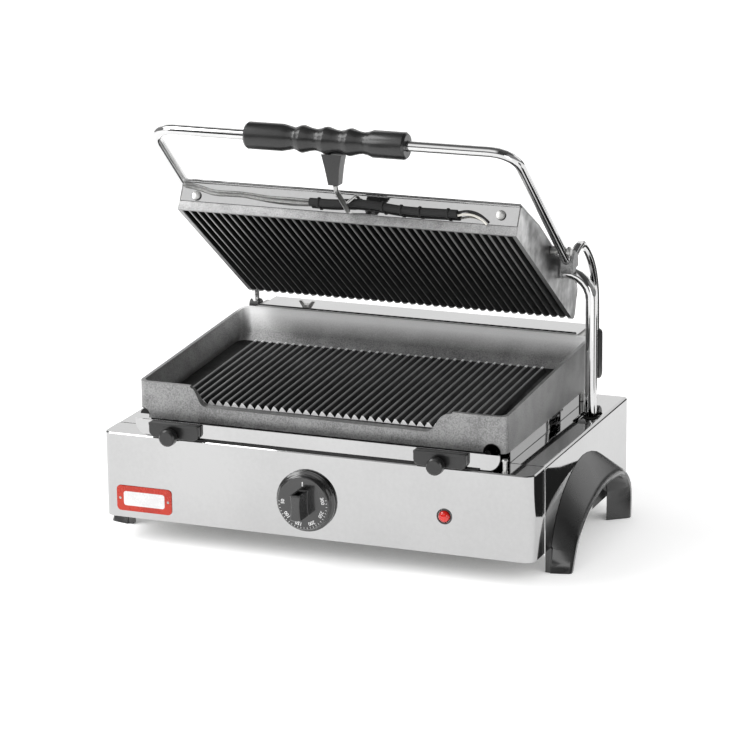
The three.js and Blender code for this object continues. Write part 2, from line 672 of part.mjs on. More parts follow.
function stayRod() {
  const tip = at(5, 79.5, 344.5);
  const end = at(5, 87.5, 337.2);
  return softTube([at(5, 56, 370), at(5, 57.5, 365.5), at(5, 69, 354.5), tip, end], 2.4,
    { steps: 10, sides: 10 });
}

const hingeShaft = cylinder('x', hinge.shaft, -193.2, 193.2, hinge.y, hinge.z, 20);
const hingeRod = softTube(rodRoute, 4.3, { steps: 22, sides: 10 });

add(press, 'hinge_shaft', hingeShaft, zincSteel());
addPair(press, 'hinge_boss', hingeBoss(), blackPlastic);
addPair(press, 'hinge_rod', hingeRod, chrome);
addPair(press, 'hub', hub(), castAluminium);
add(press, 'handle_bar', handleBar(), chrome());
add(press, 'grip', handGrip(), blackPlastic());
add(press, 'stay_stub', stayStub(), blackPlastic());
add(press, 'stay_rod', stayRod(), chrome());

// ---------------------------------------------------------------- balance strut
function balanceStrut() {
  const { x, y, z, radius, bore, bend, length, boreDepth } = strut;
  const foot = z - length;
  const outer = tube([at(x, y, foot), at(x, y, z), at(184, y, z)], radius,
    { bend, sides: 16, arcSteps: 6 });
  const spigot = cylinder('x', 3, 181.2, 190, y, z, 16);
  return cut(join(outer, spigot), cylinder('z', bore, foot - 9, foot + boreDepth, x, y, 16));
}

function balanceSpring() {
  const { x, y, z, length, boreDepth } = strut;
  const bottom = anchor.z + anchor.rodLength + gap;
  const top = z - length + boreDepth - gap;
  const wire = 0.6;
  const turns = 9;
  class Helix extends THREE.Curve {
    getPoint(t) {
      const angle = 2 * Math.PI * turns * t;
      return at(x + 3.5 * Math.cos(angle), y + 3.5 * Math.sin(angle),
        bottom + wire + 0.2 + (top - bottom - 2 * wire - 0.4) * t);
    }
  }
  return sweep(new Helix(), turns * 8, wire, 4);
}

const guideRod = join(
  cylinder('z', anchor.rod, anchor.z, anchor.z + anchor.rodLength, strut.x, strut.y, 16),
  cylinder('x', anchor.eye, strut.x - 3.6, strut.x + 3.6, strut.y, anchor.z, 20),
);

add(press, 'balance_strut', balanceStrut(), chrome());
add(press, 'balance_spring', balanceSpring(), zincSteel());
add(press, 'strut_guide_rod',
  cut(guideRod, cylinder('x', 2.3, strut.x - 9, strut.x + 9, strut.y, anchor.z, 12)), zincSteel());

// ---------------------------------------------------------------- upper grill, in its own axes
// X across, Y from front to back along the plate, Z away from the ribs.
const tilt = THREE.MathUtils.degToRad(plate.tilt);
const inPlate = (y, z) => {
  const dy = y - plate.y;
  const dz = z - plate.z;
  return [dy * Math.cos(tilt) - dz * Math.sin(tilt), dy * Math.sin(tilt) + dz * Math.cos(tilt)];
};
const [pivotS, pivotH] = inPlate(pivot.y, pivot.z);

function upperPlate() {
  const { half, ribCount, groove, wall, joint, lip } = plate;
  const side = new THREE.Shape();
  side.moveTo(0, 0);
  side.lineTo(0.1, joint);
  side.lineTo(-2.8, 29.2);
  side.lineTo(1, 30.4);
  side.lineTo(57, 36);
  side.lineTo(203, 35);
  side.lineTo(209, 31);
  side.lineTo(212, 25);
  side.lineTo(217.6, 8);
  side.quadraticCurveTo(218.4, 0, 210, 0);
  const body = extrude('x', side, -half, half, { segments: 4 });
  const cavity = box(-half + wall, half - wall, 9, 203, 12, 60);
  const frontRecess = box(-half + 0.6, half - 0.6, -9, 9.1, joint, 60);
  const first = (-ribCount * ribs.pitch) / 2;
  const grooves = Array.from({ length: ribCount }, (_, i) => first + (i + 0.5) * ribs.pitch)
    .flatMap((x) => [[x - ribs.pitch / 2 + ribs.land, 0], [x - 0.7, groove],
      [x + 0.7, groove], [x + ribs.pitch / 2 - ribs.land, 0]]);
  const comb = polygon([[first, -2], [-first, -2], ...grooves.reverse()]);
  const bores = [-1, 1].map((s) => cylinder('x', 3.3, s * half - 12, s * half + 12, pivotS, pivotH, 16));
  return cut(body, cavity, frontRecess, extrude('y', comb, lip, 230), ...bores);
}

// The stainless lid of the upper plate, folded down a little at the back.
function upperCover() {
  const half = plate.half;
  const top = polygon([[-4.9, 31.9], [57, 37.9], [203.6, 36.9], [210.6, 32.2], [213.8, 25.6],
    [212.5, 25], [209.4, 31.3], [203.2, 35.4], [57, 36.4], [1, 30.8], [-4.8, 30.4]]);
  return extrude('x', top, -half + 0.1, half - 0.1);
}

// The flat front with its ledge: the leads run in front of it.
const panelFace = (h) => 0.4 - ((h - 7.7) * 3) / 21.1;

function upperFrontPanel() {
  const foot = plate.joint + 0.4;
  const side = polygon([[panelFace(foot), foot], [panelFace(foot) + 1.5, foot], [-1.3, 30],
    [-4.6, 30], [-4.4, 28.8], [-2.6, 28.8]]);
  const { half } = plate;
  return cut(extrude('x', side, -half + 1, half - 1),
    cylinder('y', 2.4, -9, 9, -162.2, 15.7, 12), cylinder('y', 2.4, -9, 9, 160.9, 19.8, 12));
}

function panelScrews() {
  return [[-162.2, 15.7], [160.9, 19.8]].map(([x, h]) => {
    const face = panelFace(h);
    return turned('y', [[0, face - 2.2], [4.4, face - 2.2], [5, face - 1.8], [5, face - 1.1],
      [2, face - 1.1], [2, face + 6], [0, face + 6]], x, h, 14);
  });
}

function pivotBolt() {
  const { half, wall } = plate;
  return turned('x', [[0, half - wall - 6], [5, half - wall - 6], [5, half - wall - 1], [3, half - wall - 1],
    [3, half + gap], [4.8, half + gap], [4.8, 186], [3, 186], [3, 197.8], [5.4, 197.8],
    [5.2, 199.6], [3.6, 201.2], [0, 201.6]], pivotS, pivotH, 12);
}

function upperElement() {
  return heatingElement(135, 34, 5, 34).translate(0, 0, 16);
}

// Leads, sleeve and hook on the front of the plate.
function sleeve() {
  return softTube([at(-38, -5.2, 17), at(-12, -5.6, 17), at(10, -6.2, 19), at(32, -6.4, 18),
    at(62, -6.2, 15.5), at(92, -6, 15.5), at(118, -5.8, 16)], 4.2, { steps: 16, sides: 10 });
}

function leftLeads(offset) {
  return softTube([at(-177, -4.6, 25.8 + offset), at(-160, -4, 23.6 + offset),
    at(-144.5, -3.4, 20 + offset), at(-113, -3.2, 20.2 + offset), at(-82.6, -4, 17.4 + offset * 1.2),
    at(-60, -5, 16.8 + offset * 1.4), at(-38.5, -5.2, 17 + offset)], 1.1, { steps: 18, sides: 6 });
}

function rightLeads(offset) {
  return softTube([at(118.6, -5.8, 16 + offset), at(128, -5.6, 18 + offset),
    at(138, -4.8, 16.6 + offset), at(146, -3.2, 12.6 + offset), at(149, -2.6, 10.2 + offset)], 1.2,
  { steps: 10, sides: 6 });
}

function stayHook() {
  return tube([at(-10, -4.2, 25), at(-10, -12, 24.5), at(4, -12, 15.4), at(12, -12, 24.5),
    at(12, -4.2, 25)], 1.5, { bend: 2.2, sides: 8, arcSteps: 3 });
}

add(upper, 'upper_plate', upperPlate(), castAluminium());
add(upper, 'upper_cover', upperCover(), polishedSteel());
add(upper, 'upper_front_panel', upperFrontPanel(), polishedSteel());
panelScrews().forEach((screw, i) =>
  add(upper, ['panel_screw_left', 'panel_screw_right'][i], screw, zincSteel()));
addPair(upper, 'pivot_bolt', pivotBolt(), zincSteel);
add(upper, 'upper_element', upperElement(), zincSteel());
add(upper, 'cable_sleeve', sleeve(), blackPlastic());
add(upper, 'left_lead_upper', leftLeads(1.6), zincSteel());
add(upper, 'left_lead_lower', leftLeads(-1.6), zincSteel());
add(upper, 'right_lead_upper', rightLeads(1.8), blackPlastic());
add(upper, 'right_lead_lower', rightLeads(-1.6), whiteCeramic());
add(upper, 'stay_hook', stayHook(), chrome());

press.position.y = -(frontMost + rearMost) / 2;

export default press;
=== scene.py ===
# %% [markdown]
# # A contact grill, part by part
# This lesson dresses the finished solids of a snack-bar panini press. The solids already have
# their true sizes, so the work here is finishes, small parts, print and light. Many places are
# read from the solids, and the others are given. All lengths are in metres.

# %% Load the solids
import json
import math

import bmesh
import bpy
from mathutils import Matrix, Vector


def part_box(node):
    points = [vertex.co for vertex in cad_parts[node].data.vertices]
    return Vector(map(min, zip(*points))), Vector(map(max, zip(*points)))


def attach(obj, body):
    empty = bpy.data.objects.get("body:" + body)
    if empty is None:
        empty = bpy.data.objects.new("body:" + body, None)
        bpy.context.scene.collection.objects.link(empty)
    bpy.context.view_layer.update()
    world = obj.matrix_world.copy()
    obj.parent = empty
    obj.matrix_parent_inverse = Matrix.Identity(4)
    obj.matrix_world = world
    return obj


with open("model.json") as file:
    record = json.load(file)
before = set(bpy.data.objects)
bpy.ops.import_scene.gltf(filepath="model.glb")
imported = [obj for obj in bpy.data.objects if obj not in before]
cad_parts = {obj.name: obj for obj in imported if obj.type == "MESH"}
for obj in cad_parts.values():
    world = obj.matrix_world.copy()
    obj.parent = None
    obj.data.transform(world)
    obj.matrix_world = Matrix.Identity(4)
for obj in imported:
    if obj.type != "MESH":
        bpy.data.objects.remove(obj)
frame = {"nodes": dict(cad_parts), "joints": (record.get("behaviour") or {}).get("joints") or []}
solids = frame["nodes"]
joints = {joint["name"]: joint for joint in frame["joints"]}
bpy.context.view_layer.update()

# %% [markdown]
# ## The camera
# A long lens from far away keeps the box nearly square, as in a catalogue. The camera is placed
# by three angles and a distance round the point that it aims at, which makes it easy to adjust.

# %% Place the camera
MM = 0.001
view_azimuth = math.radians(21.954)
view_elevation = math.radians(15.692)
view_roll = math.radians(-0.662)
view_distance = 3.43647
hinge_to_middle = Vector((0, -171.7, -42.9)) * MM
grill_middle = Vector(joints["lid_hinge"]["pos_m"]) + hinge_to_middle
aim_right, aim_up = 13.011 * MM, 37.141 * MM

towards_camera = Vector((
    math.sin(view_azimuth) * math.cos(view_elevation),
    -math.cos(view_azimuth) * math.cos(view_elevation),
    math.sin(view_elevation),
))
level_right = Vector((math.cos(view_azimuth), math.sin(view_azimuth), 0))
level_up = towards_camera.cross(level_right)
view_right = math.cos(view_roll) * level_right + math.sin(view_roll) * level_up
view_up = math.cos(view_roll) * level_up - math.sin(view_roll) * level_right

camera = bpy.data.objects.new("camera", bpy.data.cameras.new("camera"))
camera.data.lens = 163.15
camera.data.sensor_width = 36
aim = grill_middle + aim_right * view_right + aim_up * view_up
camera.matrix_world = Matrix.Translation(aim + view_distance * towards_camera) @ Matrix(
    (view_right, view_up, towards_camera)).transposed().to_4x4()
bpy.context.scene.collection.objects.link(camera)
bpy.context.scene.camera = camera
print("camera at", [round(value, 3) for value in camera.matrix_world.translation])

# %% [markdown]
# ## The studio
# Polished metal shows its surroundings more than itself. So the sky is made of three skies: plain
# white for the lens, light from the left for matt skins, and for polished skins a set with a
# white backdrop, a softbox overhead and dark gaps between. The gaps draw the thin dark lines
# that make a round bar look chromed.

# %% A helper that adds a node to any tree
def add_node(tree, kind, values=None, **settings):
    """Adds a node. Settings are its attributes. Values go to its inputs: a socket is linked."""
    node = tree.nodes.new(kind)
    for name, value in settings.items():
        setattr(node, name, value)
    for name, value in (values or {}).items():
        if isinstance(value, bpy.types.NodeSocket):
            tree.links.new(value, node.inputs[name])
        else:
            node.inputs[name].default_value = value
    return node


def grey(value):
    return (value, value, value, 1)


def add_ramp(tree, socket, stops):
    """A colour ramp of greys: stops are pairs of place and brightness."""
    ramp = add_node(tree, "ShaderNodeValToRGB", {"Fac": socket})
    stones = ramp.color_ramp.elements
    while len(stones) < len(stops):
        stones.new(0.5)
    for stone, (place, brightness) in zip(stones, stops):
        stone.position = place
        stone.color = grey(brightness)
    return ramp.outputs["Color"]


def spread(tree, socket, low, high, start=0.0, end=1.0):
    """Maps low - high to start - end. Each may be a number or a socket."""
    return add_node(tree, "ShaderNodeMapRange", {
        "Value": socket, "From Min": low, "From Max": high, "To Min": start, "To Max": end,
    }).outputs["Result"]


# The Mix node keeps one pair of A and B sockets for each data type, so the colour pair is last.
def colour_blend(tree, mask, low, high):
    node = add_node(tree, "ShaderNodeMix", data_type="RGBA")
    factor, first, second = node.inputs[0], node.inputs[6], node.inputs[7]
    for socket, value in ((factor, mask), (first, low), (second, high)):
        if isinstance(value, bpy.types.NodeSocket):
            tree.links.new(value, socket)
        else:
            socket.default_value = value
    return node.outputs[2]


# %% The sky
def build_sky():
    world = bpy.data.worlds.new("studio")
    world.use_nodes = True
    tree = world.node_tree
    tree.nodes.clear()
    direction = add_node(tree, "ShaderNodeTexCoord").outputs["Generated"]
    axes = add_node(tree, "ShaderNodeSeparateXYZ", {"Vector": direction}).outputs
    from_left = add_ramp(tree, spread(tree, axes["X"], -1, 1), (
        (0.0, 1.0), (0.45, 0.72), (0.75, 0.3), (1.0, 0.2)))
    # Ahead, from the floor up: a dark gap, a broad softbox and a dark ceiling. It ends on the right.
    ahead = add_ramp(tree, axes["Z"], (
        (0.0, 0.14), (0.3, 0.1), (0.42, 0.9), (0.84, 0.85), (0.92, 0.2), (1.0, 0.2)))
    ahead = colour_blend(tree, spread(tree, axes["X"], 0.08, 0.28), ahead, grey(0.05))
    # Behind: a dark horizon, a white backdrop and a dark ceiling.
    behind = add_ramp(tree, axes["Z"], (
        (0.0, 0.1), (0.12, 0.1), (0.17, 0.84), (0.5, 0.84), (0.58, 0.06), (1.0, 0.1)))
    front_and_back = colour_blend(tree, spread(tree, axes["Y"], -0.2, 0.1), ahead, behind)
    sideways = add_node(tree, "ShaderNodeMath", {0: axes["X"]}, operation="ABSOLUTE").outputs[0]
    polished = colour_blend(tree, spread(tree, sideways, 0.7, 0.8), front_and_back, grey(0.22))
    ray = add_node(tree, "ShaderNodeLightPath").outputs
    seen = colour_blend(tree, ray["Is Glossy Ray"], from_left, polished)
    seen = colour_blend(tree, ray["Is Camera Ray"], seen, grey(1))
    glow = add_node(tree, "ShaderNodeBackground", {"Color": seen, "Strength": 1.32})
    add_node(tree, "ShaderNodeOutputWorld", {"Surface": glow.outputs["Background"]})
    bpy.context.scene.world = world


build_sky()

# %% [markdown]
# The floor is a faintly glowing white table, so that its shadows stay soft and pale. Cards beside
# the set, which only polished things see, put a few more streaks on the chrome.

# %% Helpers for the floor, the lamps and the cards
def add_stage_sheet(name, corners, brightness, glow=0.0):
    mesh = bpy.data.meshes.new(name)
    mesh.from_pydata(corners, [], [range(len(corners))])
    sheet = bpy.data.objects.new(name, mesh)
    bpy.context.scene.collection.objects.link(sheet)
    paint = bpy.data.materials.new(name + "_paint")
    paint.use_nodes = True
    shader = paint.node_tree.nodes["Principled BSDF"]
    shader.inputs["Base Color"].default_value = grey(brightness)
    shader.inputs["Roughness"].default_value = 0.95
    shader.inputs["Emission Color"].default_value = grey(1)
    shader.inputs["Emission Strength"].default_value = glow
    mesh.materials.append(paint)
    return sheet


def add_lamp(name, place, target, size, watts):
    lamp = bpy.data.objects.new(name, bpy.data.lights.new(name, "AREA"))
    lamp.data.shape = "SQUARE"
    lamp.data.size = size
    lamp.data.energy = watts
    lamp.location = place
    lamp.rotation_euler = (Vector(target) - Vector(place)).to_track_quat("-Z", "Y").to_euler()
    bpy.context.scene.collection.objects.link(lamp)


def show_to_polish_only(card):
    """Leaves a card out of the view and of the shadows, so that only reflections hold it."""
    card.visible_camera = False
    card.visible_diffuse = False
    card.visible_shadow = False


def add_card(name, foot_start, foot_end, low, high, glow=0.0):
    """A card that stands beside the set, from one point of the floor to another."""
    (x0, y0), (x1, y1) = foot_start, foot_end
    corners = [(x0, y0, low), (x1, y1, low), (x1, y1, high), (x0, y0, high)]
    show_to_polish_only(add_stage_sheet(name, corners, 0.02, glow))


# The glow dies away close to the grill, so that the shadow under the base is deep and tight.
def add_floor_glow(sheet, strength, reach):
    tree = sheet.data.materials[0].node_tree
    openness = add_node(tree, "ShaderNodeAmbientOcclusion", {"Distance": reach}, samples=8)
    glow = spread(tree, openness.outputs["AO"], 0.0, 0.32, 0, strength)
    tree.links.new(glow, tree.nodes["Principled BSDF"].inputs["Emission Strength"])


# %% Set the stage
floor_reach = 9
floor = add_stage_sheet("floor", [
    (-floor_reach, -floor_reach, 0), (floor_reach, -floor_reach, 0),
    (floor_reach, floor_reach, 0), (-floor_reach, floor_reach, 0)], 0.8)
add_floor_glow(floor, 0.5, 0.12)
add_lamp("top_softbox", (-1.5, -0.5, 1.9), (0, 0, 0.1), 1.0, 16)
add_lamp("left_softbox", (-2.2, -1.9, 1.5), (0, 0, 0.15), 1.2, 22)
add_card("dark_card_behind", (0.66, 0.36), (0.16, 0.62), 0.015, 0.12)
add_card("dark_card_right", (0.66, -0.10), (0.66, 0.05), 0.02, 0.26)
add_card("dark_card_left", (-1.0, -1.2), (-0.7, -1.5), 0.0, 0.7)
add_card("white_card_right", (0.62, -0.75), (0.82, -0.5), 0.0, 0.5, 2.2)
# The mat lies on the floor behind the right foot. The polished side shows it above the foot.
dark_mat = [(0.293, 0.066), (0.50, -0.03), (0.65, -0.02), (0.65, 0.20), (0.343, 0.255),
            (0.328, 0.282), (0.31, 0.278), (0.293, 0.25)]
show_to_polish_only(add_stage_sheet("dark_mat", [(x, y, 0.001) for x, y in dark_mat], 0.01))
bpy.context.scene.view_settings.view_transform = "Standard"

# %% [markdown]
# ## Shared effects
# Three effects come back in many finishes, so each is a node group that is built once. Grain is
# the mottled skin of sand casting and moulding. Facing finds the surfaces that look one way.
# Along measures how far a point lies in one direction, for wear on a rim.

# %% A helper for node groups
def new_group(name, inputs, outputs):
    """An empty shader group with float or vector sockets. Returns the tree, its in and its out."""
    tree = bpy.data.node_groups.new(name, "ShaderNodeTree")
    for label, start in inputs.items():
        kind = "NodeSocketVector" if isinstance(start, tuple) else "NodeSocketFloat"
        socket = tree.interface.new_socket(label, in_out="INPUT", socket_type=kind)
        socket.default_value = start
    for label in outputs:
        tree.interface.new_socket(label, in_out="OUTPUT", socket_type="NodeSocketFloat")
    source = add_node(tree, "NodeGroupInput").outputs
    return tree, source, add_node(tree, "NodeGroupOutput").inputs


def add_group(tree, name, values):
    node = tree.nodes.new("ShaderNodeGroup")
    node.node_tree = bpy.data.node_groups[name]
    for label, value in values.items():
        node.inputs[label].default_value = value
    return node.outputs


# %% Build the three effects
def build_grain():
    tree, source, result = new_group(
        "grain", {"Speck size": 0.001, "Cloud size": 0.02, "Speck share": 0.5},
        ("Mask", "Height"))
    place = add_node(tree, "ShaderNodeTexCoord").outputs["Object"]
    noises = {}
    for label in ("Speck", "Cloud"):
        scale = add_node(tree, "ShaderNodeMath", {0: 1.0, 1: source[label + " size"]},
                         operation="DIVIDE")
        noises[label] = add_node(tree, "ShaderNodeTexNoise",
                                 {"Vector": place, "Scale": scale.outputs[0], "Detail": 2.0})
    both = add_node(tree, "ShaderNodeMix", {
        "Factor": source["Speck share"],
        "A": noises["Cloud"].outputs["Fac"], "B": noises["Speck"].outputs["Fac"]})
    tree.links.new(spread(tree, both.outputs["Result"], 0.36, 0.64), result["Mask"])
    tree.links.new(noises["Speck"].outputs["Fac"], result["Height"])


def build_direction_mask(name, coordinate):
    """A mask that rises as the dot product of a coordinate and a direction goes From - To."""
    tree, source, result = new_group(
        name, {"Direction": (0.0, 0.0, 1.0), "From": 0.0, "To": 1.0}, ("Mask",))
    value = add_node(tree, "ShaderNodeTexCoord").outputs[coordinate]
    along = add_node(tree, "ShaderNodeVectorMath", {0: value, 1: source["Direction"]},
                     operation="DOT_PRODUCT")
    mask = spread(tree, along.outputs["Value"], source["From"], source["To"])
    tree.links.new(mask, result["Mask"])


build_grain()
build_direction_mask("facing", "Normal")
build_direction_mask("along", "Object")
print("groups", sorted(group.name for group in bpy.data.node_groups))

# %% [markdown]
# ## Finishes
# Each finish is one short function round the same shader. What is the same all over is set on
# the shader's own socket. What changes over the surface, such as mottling, comes through nodes.

# %% Helpers for finishes
def new_finish(name, **sockets):
    material = bpy.data.materials.new(name)
    material.use_nodes = True
    tree = material.node_tree
    shader = tree.nodes["Principled BSDF"]
    for label, value in sockets.items():
        shader.inputs[label.replace("_", " ").title().replace("Ior", "IOR")].default_value = value
    return material, tree, shader


def add_roughness(tree, shader, mask, low, high):
    tree.links.new(spread(tree, mask, 0, 1, low, high), shader.inputs["Roughness"])


def add_bump(tree, shader, height, distance, strength):
    bump = add_node(tree, "ShaderNodeBump",
                    {"Height": height, "Distance": distance, "Strength": strength})
    tree.links.new(bump.outputs["Normal"], shader.inputs["Normal"])


def grained_finish(name, dark, light, speck, cloud, share, rough, bump, **sockets):
    """The common kind: a mottled colour and roughness over a fine grainy bump."""
    material, tree, shader = new_finish(name, **sockets)
    grain = add_group(tree, "grain",
                      {"Speck size": speck, "Cloud size": cloud, "Speck share": share})
    colour = colour_blend(tree, grain["Mask"], dark, light)
    tree.links.new(colour, shader.inputs["Base Color"])
    add_roughness(tree, shader, grain["Mask"], *rough)
    add_bump(tree, shader, grain["Height"], *bump)
    return material, tree, shader, colour


# %% Metals
def polished_sheet():
    return grained_finish("polished_sheet", grey(0.47), grey(0.51), 0.004, 0.09, 0.3,
                          (0.025, 0.06), (0.00002, 0.03), metallic=1.0)[0]


def chromed_bar():
    return grained_finish("chromed_bar", grey(0.62), grey(0.7), 0.002, 0.05, 0.3,
                          (0.04, 0.09), (0.00002, 0.05), metallic=1.0)[0]


def zinc_plate():
    return grained_finish("zinc_plate", (0.42, 0.42, 0.41, 1), (0.62, 0.62, 0.61, 1), 0.002, 0.02,
                          0.5, (0.28, 0.42), (0.00008, 0.2), metallic=1.0)[0]


# The two drain notches of the splash guard are painted black inside, as painted shade in each
# hollow. Each has an x, a z and a radius in millimetres. The inside of the rear wall is painted
# lighter, as painted light on its forward face.
drains = ((-191.0, 129.2, 7.0), (180.0, 127.6, 8.4))
rear_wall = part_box("splash_guard")[1].y


def sand_casting():
    material, tree, shader, colour = grained_finish(
        "sand_casting", grey(0.19), grey(0.4), 0.0013, 0.02, 0.66, (0.36, 0.5), (0.0002, 0.25),
        metallic=0.6)
    # Painted light: the inside of the rear wall is blended towards white and made less metallic, for
    # the light that falls on its forward face.
    rear_wall_light = add_group(tree, "along", {
        "Direction": (0, 1, 0), "From": rear_wall - 26 * MM, "To": rear_wall - 10 * MM})
    colour = colour_blend(tree, rear_wall_light["Mask"], colour, colour_blend(
        tree, 0.75, colour, grey(1)))
    place = add_node(tree, "ShaderNodeTexCoord").outputs["Object"]
    flat = add_node(tree, "ShaderNodeVectorMath", {0: place, 1: (1, 0, 1)},
                    operation="MULTIPLY").outputs["Vector"]
    # Painted shade: round each drain notch the colour goes near-black, for the dark inside the
    # notch.
    for x, z, radius in drains:
        away = add_node(tree, "ShaderNodeVectorMath", {0: flat, 1: (x * MM, 0, z * MM)},
                        operation="DISTANCE").outputs["Value"]
        notch_shade = spread(tree, away, (radius + 0.3) * MM, (radius + 0.9) * MM, 1, 0)
        colour = colour_blend(tree, notch_shade, colour, grey(0.006))
    tree.links.new(colour, shader.inputs["Base Color"])
    tree.links.new(spread(tree, rear_wall_light["Mask"], 0, 1, 0.6, 0.15), shader.inputs["Metallic"])
    return material


# %% Plastics, rubber, glass and print
def satin_moulding():
    return grained_finish("satin_moulding", grey(0.004), grey(0.009), 0.0012, 0.03, 0.5,
                          (0.26, 0.36), (0.00006, 0.25), coat_weight=1.0,
                          coat_roughness=0.22)[0]


def grained_moulding():
    return grained_finish("grained_moulding", grey(0.006), grey(0.016), 0.0009, 0.02, 0.6,
                          (0.3, 0.42), (0.0001, 0.3), coat_weight=0.35,
                          coat_roughness=0.16)[0]


def glossy_dial():
    return grained_finish("glossy_dial", grey(0.006), grey(0.012), 0.001, 0.02, 0.4,
                          (0.2, 0.28), (0.00004, 0.1), coat_weight=1.0, coat_roughness=0.08)[0]


def black_sleeve():
    return grained_finish("black_sleeve", grey(0.006), grey(0.018), 0.0008, 0.01, 0.6,
                          (0.6, 0.75), (0.0002, 0.4))[0]


def lamp_glass():
    return grained_finish("lamp_glass", (0.42, 0.004, 0.004, 1), (0.75, 0.02, 0.012, 1), 0.0016,
                          0.006, 0.3, (0.08, 0.18), (0.0004, 0.3), coat_weight=0.6,
                          coat_roughness=0.05)[0]


def glazed_ceramic():
    return grained_finish("glazed_ceramic", (0.72, 0.7, 0.64, 1), (0.84, 0.82, 0.76, 1), 0.002,
                          0.02, 0.4, (0.3, 0.45), (0.0001, 0.2))[0]


def white_print():
    return grained_finish("white_print", grey(0.7), grey(0.86), 0.0006, 0.005, 0.5,
                          (0.5, 0.6), (0.00002, 0.1))[0]


def enamel(name, dark, light):
    return grained_finish(name, dark, light, 0.0015, 0.02, 0.4, (0.22, 0.32), (0.00005, 0.15),
                          coat_weight=0.15, coat_roughness=0.2)[0]


# %% [markdown]
# The cooking faces are seasoned: burnt fat has turned the ribs black, and their crests are
# painted grey as a painted highlight. Each casting has both skins, so a mask picks the black one
# where the surface looks the way that the ribs look. That direction is measured on the hood's widest
# face.

# %% The upper grill's own directions
def widest_normal(node):
    """The normal that most of a node's area shares, turned upwards."""
    areas = {}
    for face in solids[node].data.polygons:
        key = tuple(round(value, 3) for value in face.normal)
        areas[key] = areas.get(key, 0) + face.area
    normal = Vector(max(areas, key=areas.get)).normalized()
    return normal if normal.z > 0 else -normal


grill_up = widest_normal("upper_cover")
grill_front = Vector((1, 0, 0)).cross(grill_up) * -1
print("upper grill leans", round(math.degrees(math.acos(grill_up.z)), 2), "degrees",
      [round(value, 3) for value in grill_front])


# %% Seasoned iron
def level_of(node, direction, highest=True):
    """How far a node reaches along a direction."""
    reach = [vertex.co.dot(direction) for vertex in solids[node].data.vertices]
    return max(reach) if highest else min(reach)


rib_height = 4.6 * MM


def add_maths(tree, operation, first, second):
    return add_node(tree, "ShaderNodeMath", {0: first, 1: second}, operation=operation).outputs[0]


def season(tree, colour, shader, outwards, crest, start, ahead, highlight_grey):
    """Blackens the faces that look outwards, behind a start line. The crests are painted grey as a
    painted highlight.
    """
    black_grain = add_group(tree, "grain",
                            {"Speck size": 0.0012, "Cloud size": 0.03, "Speck share": 0.6})
    black = colour_blend(tree, black_grain["Mask"], grey(0.004), grey(0.018))
    # Painted highlight: the crests turn grey over their top millimetre.
    crest_highlight = add_group(tree, "along", {
        "Direction": outwards, "From": crest - 1.2 * MM, "To": crest - 0.3 * MM})
    ribs = colour_blend(tree, crest_highlight["Mask"], black, grey(highlight_grey))
    looks_out = add_group(tree, "facing", {"Direction": outwards, "From": 0.25, "To": 0.45})
    behind_lip = add_group(tree, "along", {
        "Direction": -ahead, "From": start, "To": start + 0.3 * MM})
    both = add_maths(tree, "MULTIPLY", looks_out["Mask"], behind_lip["Mask"])
    skin = colour_blend(tree, both, colour, ribs)
    tree.links.new(skin, shader.inputs["Base Color"])
    return skin


# %% [markdown]
# On the upper casting each rib starts at the lip with a bare triangle: a cutter has run out
# there. The triangle is where the height on the rib is more than the way from the lip. The
# casting's sides are cloudy, and darker round the pivot bolts.

# %% The two seasoned castings
def upper_casting():
    material, tree, shader, colour = grained_finish(
        "upper_casting", grey(0.26), grey(0.5), 0.0012, 0.012, 0.6, (0.36, 0.5), (0.0002, 0.25),
        metallic=0.6)
    clouds = add_group(tree, "grain", {"Speck size": 0.012, "Cloud size": 0.05, "Speck share": 0.4})
    sideways = add_group(tree, "facing", {"Direction": (1, 0, 0), "From": 0.6, "To": 0.8})
    cloudy = colour_blend(tree, clouds["Mask"], grey(0.3), grey(0.9))
    colour = colour_blend(tree, sideways["Mask"], colour, cloudy)
    tree.links.new(spread(tree, sideways["Mask"], 0, 1, 0.6, 1), shader.inputs["Metallic"])
    place = add_node(tree, "ShaderNodeTexCoord").outputs["Object"]
    flat = add_node(tree, "ShaderNodeVectorMath", {0: place, 1: (0, 1, 1)},
                    operation="MULTIPLY").outputs["Vector"]
    bolt = Vector(joints["plate_float"]["pos_m"])
    away = add_node(tree, "ShaderNodeVectorMath", {0: flat, 1: (0, bolt.y, bolt.z)},
                    operation="DISTANCE").outputs["Value"]
    # The side faces turn darker towards the pivot bolt.
    darker_round_bolt = add_maths(tree, "MULTIPLY", spread(tree, away, 0.012, 0.045, 0.85, 0),
                       sideways["Mask"])
    colour = colour_blend(tree, darker_round_bolt, colour, grey(0.05))
    crest = level_of("upper_plate", -grill_up)
    lip_end = level_of("upper_plate", -grill_front, highest=False) + 2.5 * MM
    skin = season(tree, colour, shader, -grill_up, crest, lip_end, grill_front, 0.36)
    height = add_group(tree, "along", {
        "Direction": -grill_up, "From": crest - rib_height, "To": crest})["Mask"]
    way = add_group(tree, "along", {
        "Direction": -grill_front, "From": lip_end - 1 * MM, "To": lip_end + 11 * MM})["Mask"]
    bare = spread(tree, add_maths(tree, "SUBTRACT", height, way), 0, 0.06)
    tree.links.new(colour_blend(tree, bare, skin, grey(0.42)), shader.inputs["Base Color"])
    return material
